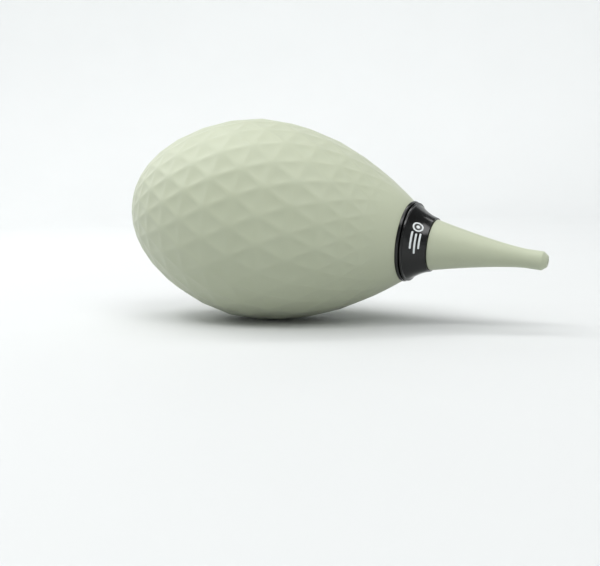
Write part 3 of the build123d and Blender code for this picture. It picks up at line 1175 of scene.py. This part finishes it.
@dataclass(frozen=True)
class Nozzle:
    """Tapered silicone nozzle with a captive root flange and a chamfered tip."""

    root: float = 111.9
    flange_r: float = 8.35
    flange_end: float = 112.8
    groove_r: float = 7.5
    outside: float = 114.4
    root_r: float = 8.4
    tip_r: float = 3.0
    taper_power: float = 1.33
    taper_rows: tuple[float, float, int] = (0.02, 0.985, 34)
    land: Point = (144.6, 149.6)
    end: float = 151.2
    face_r: float = 1.75
    bore_r: float = 0.9
    bore_start: float = 143.2
    straight_bore: float = 4.0
    bore_rows: tuple[float, float, int] = (0.0, 0.97, 12)
    root_bore_r: float = 5.6

    def build(self, silicone: Material) -> None:
        """Make the nozzle.

        Args:
            silicone: The same silicone as the bulb.
        """
        taper = []
        for reach in spaced(*self.taper_rows):
            radius = self.tip_r + (self.root_r - self.tip_r) * (1 - reach) ** self.taper_power
            taper.append(Corner(radius, self.outside + (self.land[0] - self.outside) * reach))
        bore = [Corner(self.bore_r + (self.root_bore_r - self.bore_r) * share,
                       self.bore_start + (self.root - self.bore_start) * share)
                for share in spaced(*self.bore_rows)]
        outline = rounded([
            Corner(self.root_bore_r, self.root, 0.15), Corner(self.flange_r, self.root, 0.15),
            Corner(self.flange_r, self.flange_end, 0.15),
            Corner(self.groove_r, self.flange_end, 0.05),
            Corner(self.groove_r, self.outside, 0.05), Corner(self.root_r, self.outside, 0.2),
            *taper, Corner(self.tip_r, self.land[0]), Corner(self.tip_r, self.land[1], 0.9),
            Corner(self.face_r, self.end, 0.7), Corner(self.bore_r, self.end, 0.1),
            Corner(self.bore_r, self.end - self.straight_bore), *bore])
        place_piece("tapered_nozzle", turned(outline), silicone, Body.NOZZLE_UNIT,
                    Slot.SAGE_SILICONE, ["nozzle"])


# ---- valves
@dataclass(frozen=True)
class FlapValve:
    """One-way valve: a ported acetal seat, a silicone umbrella flap and a retaining ring."""

    end: str                     # outlet or intake
    seat_at: float
    flap_body: Body
    seat_t: float = 1.6
    clearance: float = 0.05
    flap_r: float = 5.3
    flap_t: float = 0.6
    dome: float = 0.35
    lift: float = 0.9
    stem_r: float = 1.1
    barb_r: float = 1.7
    barb_t: float = 0.8

    def build(self, acetal: Material, silicone: Material) -> None:
        """Dress the seat and ring, and make the flap.

        Args:
            acetal: The seat's plastic.
            silicone: The flap's silicone.
        """
        for part in ("seat", "retainer"):
            keep_node(f"{self.end}_{part}", acetal)
        face = self.seat_at + self.seat_t + self.clearance
        barb = self.seat_at - self.lift - self.clearance
        crown = face + self.flap_t + self.dome
        outline = rounded([
            Corner(0, crown), Corner(self.flap_r * 0.6, crown - self.dome * 0.36, 2.0),
            Corner(self.flap_r, face + self.flap_t * 0.7, 0.3), Corner(self.flap_r, face, 0.12),
            Corner(self.stem_r, face, 0.12), Corner(self.stem_r, barb, 0.05),
            Corner(self.barb_r, barb, 0.25), Corner(self.barb_r * 0.6, barb - self.barb_t, 0.2),
            Corner(0, barb - self.barb_t)], closed=False)
        place_piece(f"{self.end}_umbrella", turned(outline, 96, closed=False), silicone,
                    self.flap_body, Slot.CLEAR_SILICONE, [f"{self.end}_flap"])


# ---- tail
@dataclass(frozen=True)
class TailIntake:
    """Filtered intake in the tail: housing, nut, foam, woven screen, bayonet cap and O-ring."""

    face: float = 2.0
    flange_r: float = 10.3
    seat: float = 4.4
    tube_r: float = 8.6
    end: float = 14.6
    valve_bore_r: float = 6.6
    valve_at: float = 10.8
    ledge_r: float = 5.9
    filter_end: float = 8.5
    bore_r: float = 6.9
    recess_r: float = 8.4
    recess_floor: float = 4.0
    groove: Point = (4.8, 6.1)
    groove_r: float = 7.6
    entry_arc: float = 48.0
    entry_at: float = -60.0
    cap_r: float = 8.25
    cap_face: float = 1.7
    cap_under: float = 3.1
    skirt: Point = (5.5, 6.8)
    skirt_end: float = 6.0
    lug_r: float = 7.45
    lug_arc: float = 40.0
    slots: int = 10
    slot_size: Point = (2.6, 1.2)
    slot_circle: float = 4.0
    coin_slot: Place = (14.5, 1.3, 0.7)  # length, width and depth
    edge_break: float = 0.16
    oring_r: float = 7.6
    oring_section_r: float = 0.42
    pad: Point = (6.2, 8.1)
    pad_edge: float = 0.25
    filter_r: float = 6.75
    foam_cell: float = 0.9       # width of the pits, coarser than the pores that the finish draws
    pit_depth: float = 0.22
    pit_wall: Point = (0.15, 0.55)       # distances from a pit's middle where its wall rises
    wire: float = 0.14
    wire_pitch: float = 0.6
    wire_points: int = 96

    def build(self, plastic: Material) -> None:
        """Make every piece of the intake.

        Args:
            plastic: The housing's black plastic.
        """
        keep_node("tail_nut", plastic)
        self.build_housing(plastic)
        self.build_cap(plastic)
        self.build_oring()
        self.build_foam()
        self.build_screen()

    def build_housing(self, plastic: Material) -> None:
        """Make the flanged housing with its bayonet groove and entry slots.

        Args:
            plastic: Its black plastic.
        """
        outline = rounded([
            Corner(self.recess_r, self.face, 0.2), Corner(self.flange_r, self.face, 0.5),
            Corner(self.flange_r, self.seat, 0.1), Corner(self.tube_r, self.seat),
            Corner(self.tube_r, self.end, 0.3), Corner(self.valve_bore_r, self.end, 0.3),
            Corner(self.valve_bore_r, self.valve_at), Corner(self.ledge_r, self.valve_at, 0.1),
            Corner(self.ledge_r, self.filter_end, 0.1), Corner(self.bore_r, self.filter_end),
            Corner(self.bore_r, self.groove[1]), Corner(self.groove_r, self.groove[1]),
            Corner(self.groove_r, self.groove[0]), Corner(self.bore_r, self.groove[0]),
            Corner(self.bore_r, self.recess_floor, 0.15), Corner(self.recess_r, self.recess_floor)])
        housing = turned(outline)
        for side in (0, 180):    # the blocks run past the walls they open, so no skin is left
            housing = cut(housing, arc_block(
                (self.bore_r - 0.4, self.groove_r - 0.01),
                (self.recess_floor - 0.2, self.groove[0] + 0.2), self.entry_arc,
                side + self.entry_at))
        place_piece("intake_flange", housing, plastic, Body.TAIL_VALVE, Slot.BLACK_ABS,
                    ["intake_housing"])

    def build_cap(self, plastic: Material) -> None:
        """Make the slotted cap with its coin slot, skirt and two bayonet lugs.

        Args:
            plastic: Its black plastic.
        """
        low, high = self.skirt
        outline = rounded([
            Corner(0, self.cap_face), Corner(self.cap_r, self.cap_face, 0.4),
            Corner(self.cap_r, self.cap_under, 0.15), Corner(high, self.cap_under, 0.1),
            Corner(high, self.skirt_end, 0.2), Corner(low, self.skirt_end, 0.2),
            Corner(low, self.cap_under, 0.2), Corner(0, self.cap_under)], closed=False)
        cap = turned(outline, closed=False)
        for side in (0, 180):
            cap = cut(cap, arc_block(
                ((low + high) / 2, self.lug_r), (self.groove[0] + 0.1, self.skirt_end - 0.02),
                self.lug_arc, side), joined=True)
        # Each cutter starts a millimetre outside the face and narrows over the chamfer.
        mouth = ((self.edge_break, self.cap_face - 1), (self.edge_break, self.cap_face),
                 (0.0, self.cap_face + self.edge_break))
        slot = slot_block(*self.slot_size, (*mouth, (0.0, self.cap_under + 0.6)))
        cap = cut(cap, ringed(slot, self.slots, self.slot_circle, 0.5 / self.slots))
        length, width, depth = self.coin_slot
        cap = cut(cap, slot_block(length, width, (*mouth, (0.0, self.cap_face + depth))))
        place_piece("slotted_cap", cap, plastic, Body.FILTER_CAP, Slot.BLACK_ABS, ["intake_cap"],
                    sharp_degrees=30)

    def build_oring(self) -> None:
        """Make the round-section ring under the cap."""
        middle = (self.cap_under + self.recess_floor) / 2
        outline = [(self.oring_r + self.oring_section_r * math.cos(FULL_TURN * k / 20),
                    middle + self.oring_section_r * math.sin(FULL_TURN * k / 20))
                   for k in range(20)]
        place_piece("sealing_ring", turned(outline), BLACK_RUBBER.build(), Body.FILTER_CAP,
                    Slot.BLACK_RUBBER, ["cap_oring"])

    def build_foam(self) -> None:
        """Make the open-cell foam disc, whose faces are pitted by its cells."""
        low, high = self.pad
        radii = spaced(0.0, self.filter_r - self.pad_edge, 30)
        outline = ([(r, low) for r in radii]
                   + [(self.filter_r, low + self.pad_edge), (self.filter_r, high - self.pad_edge)]
                   + [(r, high) for r in reversed(radii)])
        finish = FILTER_FOAM.build()
        recipe = Recipe("foam_cells", {
            "Cell Scale": 1 / self.foam_cell, "Pit Depth": self.pit_depth}, finish)
        given, add = recipe.inputs, recipe.add
        cells = add("ShaderNodeTexVoronoi", add(POSITION), inputs={"Scale": given["Cell Scale"]})
        deep = add(MAP_RANGE, cells, *self.pit_wall, -1.0, 0.0)
        pitted = recipe.pushed(given["Geometry"], add(TIMES, deep, given["Pit Depth"]))
        foam = recipe.run(pitted, turned(outline, closed=False))
        piece = place_piece("foam_disc", foam, finish, Body.TAIL_VALVE, Slot.FILTER_FOAM,
                            ["filter_pad"])

    def build_screen(self) -> None:
        """Make the woven wire disc, two sets of wires that pass over and under each other."""
        finish = STEEL_WIRE.build()
        recipe = Recipe("woven_screen", {
            "Wires": 2 * int(self.filter_r / self.wire_pitch), "Pitch": self.wire_pitch,
            "Wire": self.wire, "Disc": self.filter_r - 0.1, "Height": self.pad[1] + 0.15}, finish)
        joined = recipe.add("GeometryNodeJoinGeometry")
        for turn, side in ((0.0, 1.0), (0.25, -1.0)):
            wires = self.wires(recipe, turn, side)
            recipe.tree.links.new(wires.outputs[0], joined.inputs[0])
        place_piece("woven_screen", recipe.run(joined), finish, Body.TAIL_VALVE,
                    Slot.STEEL_SCREEN, ["filter_screen"])

    def wires(self, recipe: Recipe, turn: float, side: float) -> Node:
        """Weave one set of parallel wires.

        Args:
            recipe: The screen's tree.
            turn: How far the set is turned, in turns.
            side: Whether its waves start up, 1, or down, -1.

        Returns:
            The set.
        """
        given, add = recipe.inputs, recipe.add
        gaps = add(MINUS, given["Wires"], 1.0)
        centred = add(MINUS, add(INDEX), add(TIMES, gaps, 0.5))
        aside = add(COMBINE, inputs={1: add(TIMES, centred, given["Pitch"])})
        spots = add(SET_POSITION, add("GeometryNodePoints", given["Wires"]), inputs={
            "Position": aside})
        line = add("GeometryNodeCurvePrimitiveLine", inputs={
            "Start": (-self.filter_r, 0, 0), "End": (self.filter_r, 0, 0)})
        fine = add("GeometryNodeResampleCurve", line, inputs={"Count": self.wire_points})
        laid = add("GeometryNodeRealizeInstances", add(
            "GeometryNodeInstanceOnPoints", spots, inputs={"Instance": fine}))
        x, y, _ = add(SPLIT, add(POSITION)).outputs
        phase = add(OVER, add(PLUS, x, y), given["Pitch"])
        swing = add(COSINE, add(TIMES, phase, math.pi))
        wave = add(TIMES, swing, add(TIMES, given["Wire"], 0.5 * side))
        woven = add(SET_POSITION, laid, inputs={"Offset": add(COMBINE, inputs={2: wave})})
        outside = add(ABOVE, recipe.polar()[0], given["Disc"])
        trimmed = add("GeometryNodeDeleteGeometry", woven, outside, domain="POINT")
        section = add("GeometryNodeCurvePrimitiveCircle", inputs={
            "Resolution": 6, "Radius": add(TIMES, given["Wire"], 0.5)})
        drawn = add("GeometryNodeCurveToMesh", trimmed, section, inputs={"Fill Caps": True})
        return add("GeometryNodeTransform", inputs={
            "Geometry": drawn, "Rotation": Euler((0, 0, turn * FULL_TURN)),
            "Translation": add(COMBINE, inputs={2: given["Height"]})})


# ---- studio
@dataclass(frozen=True)
class SoftBox:
    """A large soft light, aimed at a point; sizes in metres."""

    name: str
    place: Place
    aim: Place
    size: tuple[float, float]
    watts: float

    def build(self) -> None:
        """Hang the light."""
        lamp = bpy.data.lights.new(self.name, "AREA")
        lamp.shape = "RECTANGLE"
        lamp.size, lamp.size_y = self.size
        lamp.energy = self.watts
        holder = put_in_scene(self.name, lamp)
        holder.location = self.place
        holder.rotation_mode = "QUATERNION"
        aim = Vector(self.aim) - Vector(self.place)
        holder.rotation_quaternion = aim.to_track_quat("-Z", "Y")


@dataclass(frozen=True)
class Studio:
    """White sweep all round, soft lights, and a camera low over the table; sizes in metres."""

    sweep: tuple[Place, ...] = ((0, 0, 0), (1.3, 0, 0.6), (1.3, 0.9, 0))
    camera_at: Place = (0.12510, -0.28430, 0.04629)
    heading: float = 0.446485    # radians from +Y towards -X
    dip: float = 0.105821
    roll: float = -0.023215
    lens: float = 54.0
    world: str = "#F2F5F6"
    world_strength: float = 0.2
    boxes: tuple[SoftBox, ...] = (
        SoftBox("overhead_box", (-0.2, 0.0, 1.0), (0, 0, 0.03), (0.9, 0.9), 3.6),
        SoftBox("key_box", (0.46, -0.4, 0.85), (0, 0, 0.03), (0.6, 0.6), 5.2),
        SoftBox("left_box", (-0.78, -0.05, 0.8), (0, 0, 0.03), (0.9, 0.7), 6.0),
        SoftBox("small_box", (-0.22, -0.5, 0.95), (0, 0, 0.03), (0.24, 0.24), 1.7),
        SoftBox("backdrop_box", (-0.25, 0.5, 1.4), (-0.9, 1.9, 0.3), (1.6, 0.5), 18.0),
    )

    def build(self) -> None:
        """Set up floor, lights and camera."""
        corners = [Corner(r / MM, z / MM, f / MM) for r, z, f in self.sweep]
        floor = turned(rounded(corners, closed=False, steps=24), 96, closed=False)
        floor.transform(Matrix.Scale(MM, 4))
        floor.flip_normals()
        floor.shade_smooth()
        floor.materials.append(STUDIO_WHITE.build())
        put_in_scene("sweep", floor)
        for box in self.boxes:
            box.build()
        world = bpy.data.worlds.new("studio_air")
        world.use_nodes = True
        sky = world.node_tree.nodes["Background"]
        sky.inputs["Color"].default_value = srgb(self.world)
        sky.inputs["Strength"].default_value = self.world_strength
        bpy.context.scene.world = world
        bpy.context.scene.view_settings.view_transform = "Standard"
        lens = bpy.data.cameras.new("camera")
        lens.lens = self.lens
        lens.clip_start, lens.clip_end = 0.01, 20.0
        camera = put_in_scene("camera", lens)
        camera.location = self.camera_at
        camera.rotation_euler = (
            Matrix.Rotation(self.heading, 4, "Z") @ Matrix.Rotation(math.pi / 2 - self.dip, 4, "X")
            @ Matrix.Rotation(self.roll, 4, "Z")).to_euler()
        bpy.context.scene.camera = camera


def main() -> None:
    """Build and dress every piece, then the studio."""
    logging.basicConfig(level=logging.INFO, format="%(name)s %(message)s")
    plastic = BLACK_ABS.build()
    acetal = NATURAL_POM.build()
    flap_silicone = CLEAR_SILICONE.build()
    silicone = SAGE_SILICONE.build()
    SqueezeBulb().build(silicone)
    Neck().build(plastic)
    Collar().build(plastic)
    Nozzle().build(silicone)
    FlapValve("outlet", 102.8, Body.OUTLET_VALVE).build(acetal, flap_silicone)
    FlapValve("intake", 10.8, Body.INTAKE_VALVE).build(acetal, flap_silicone)
    TailIntake().build(plastic)
    Studio().build()


if __name__ == "__main__":
    main()
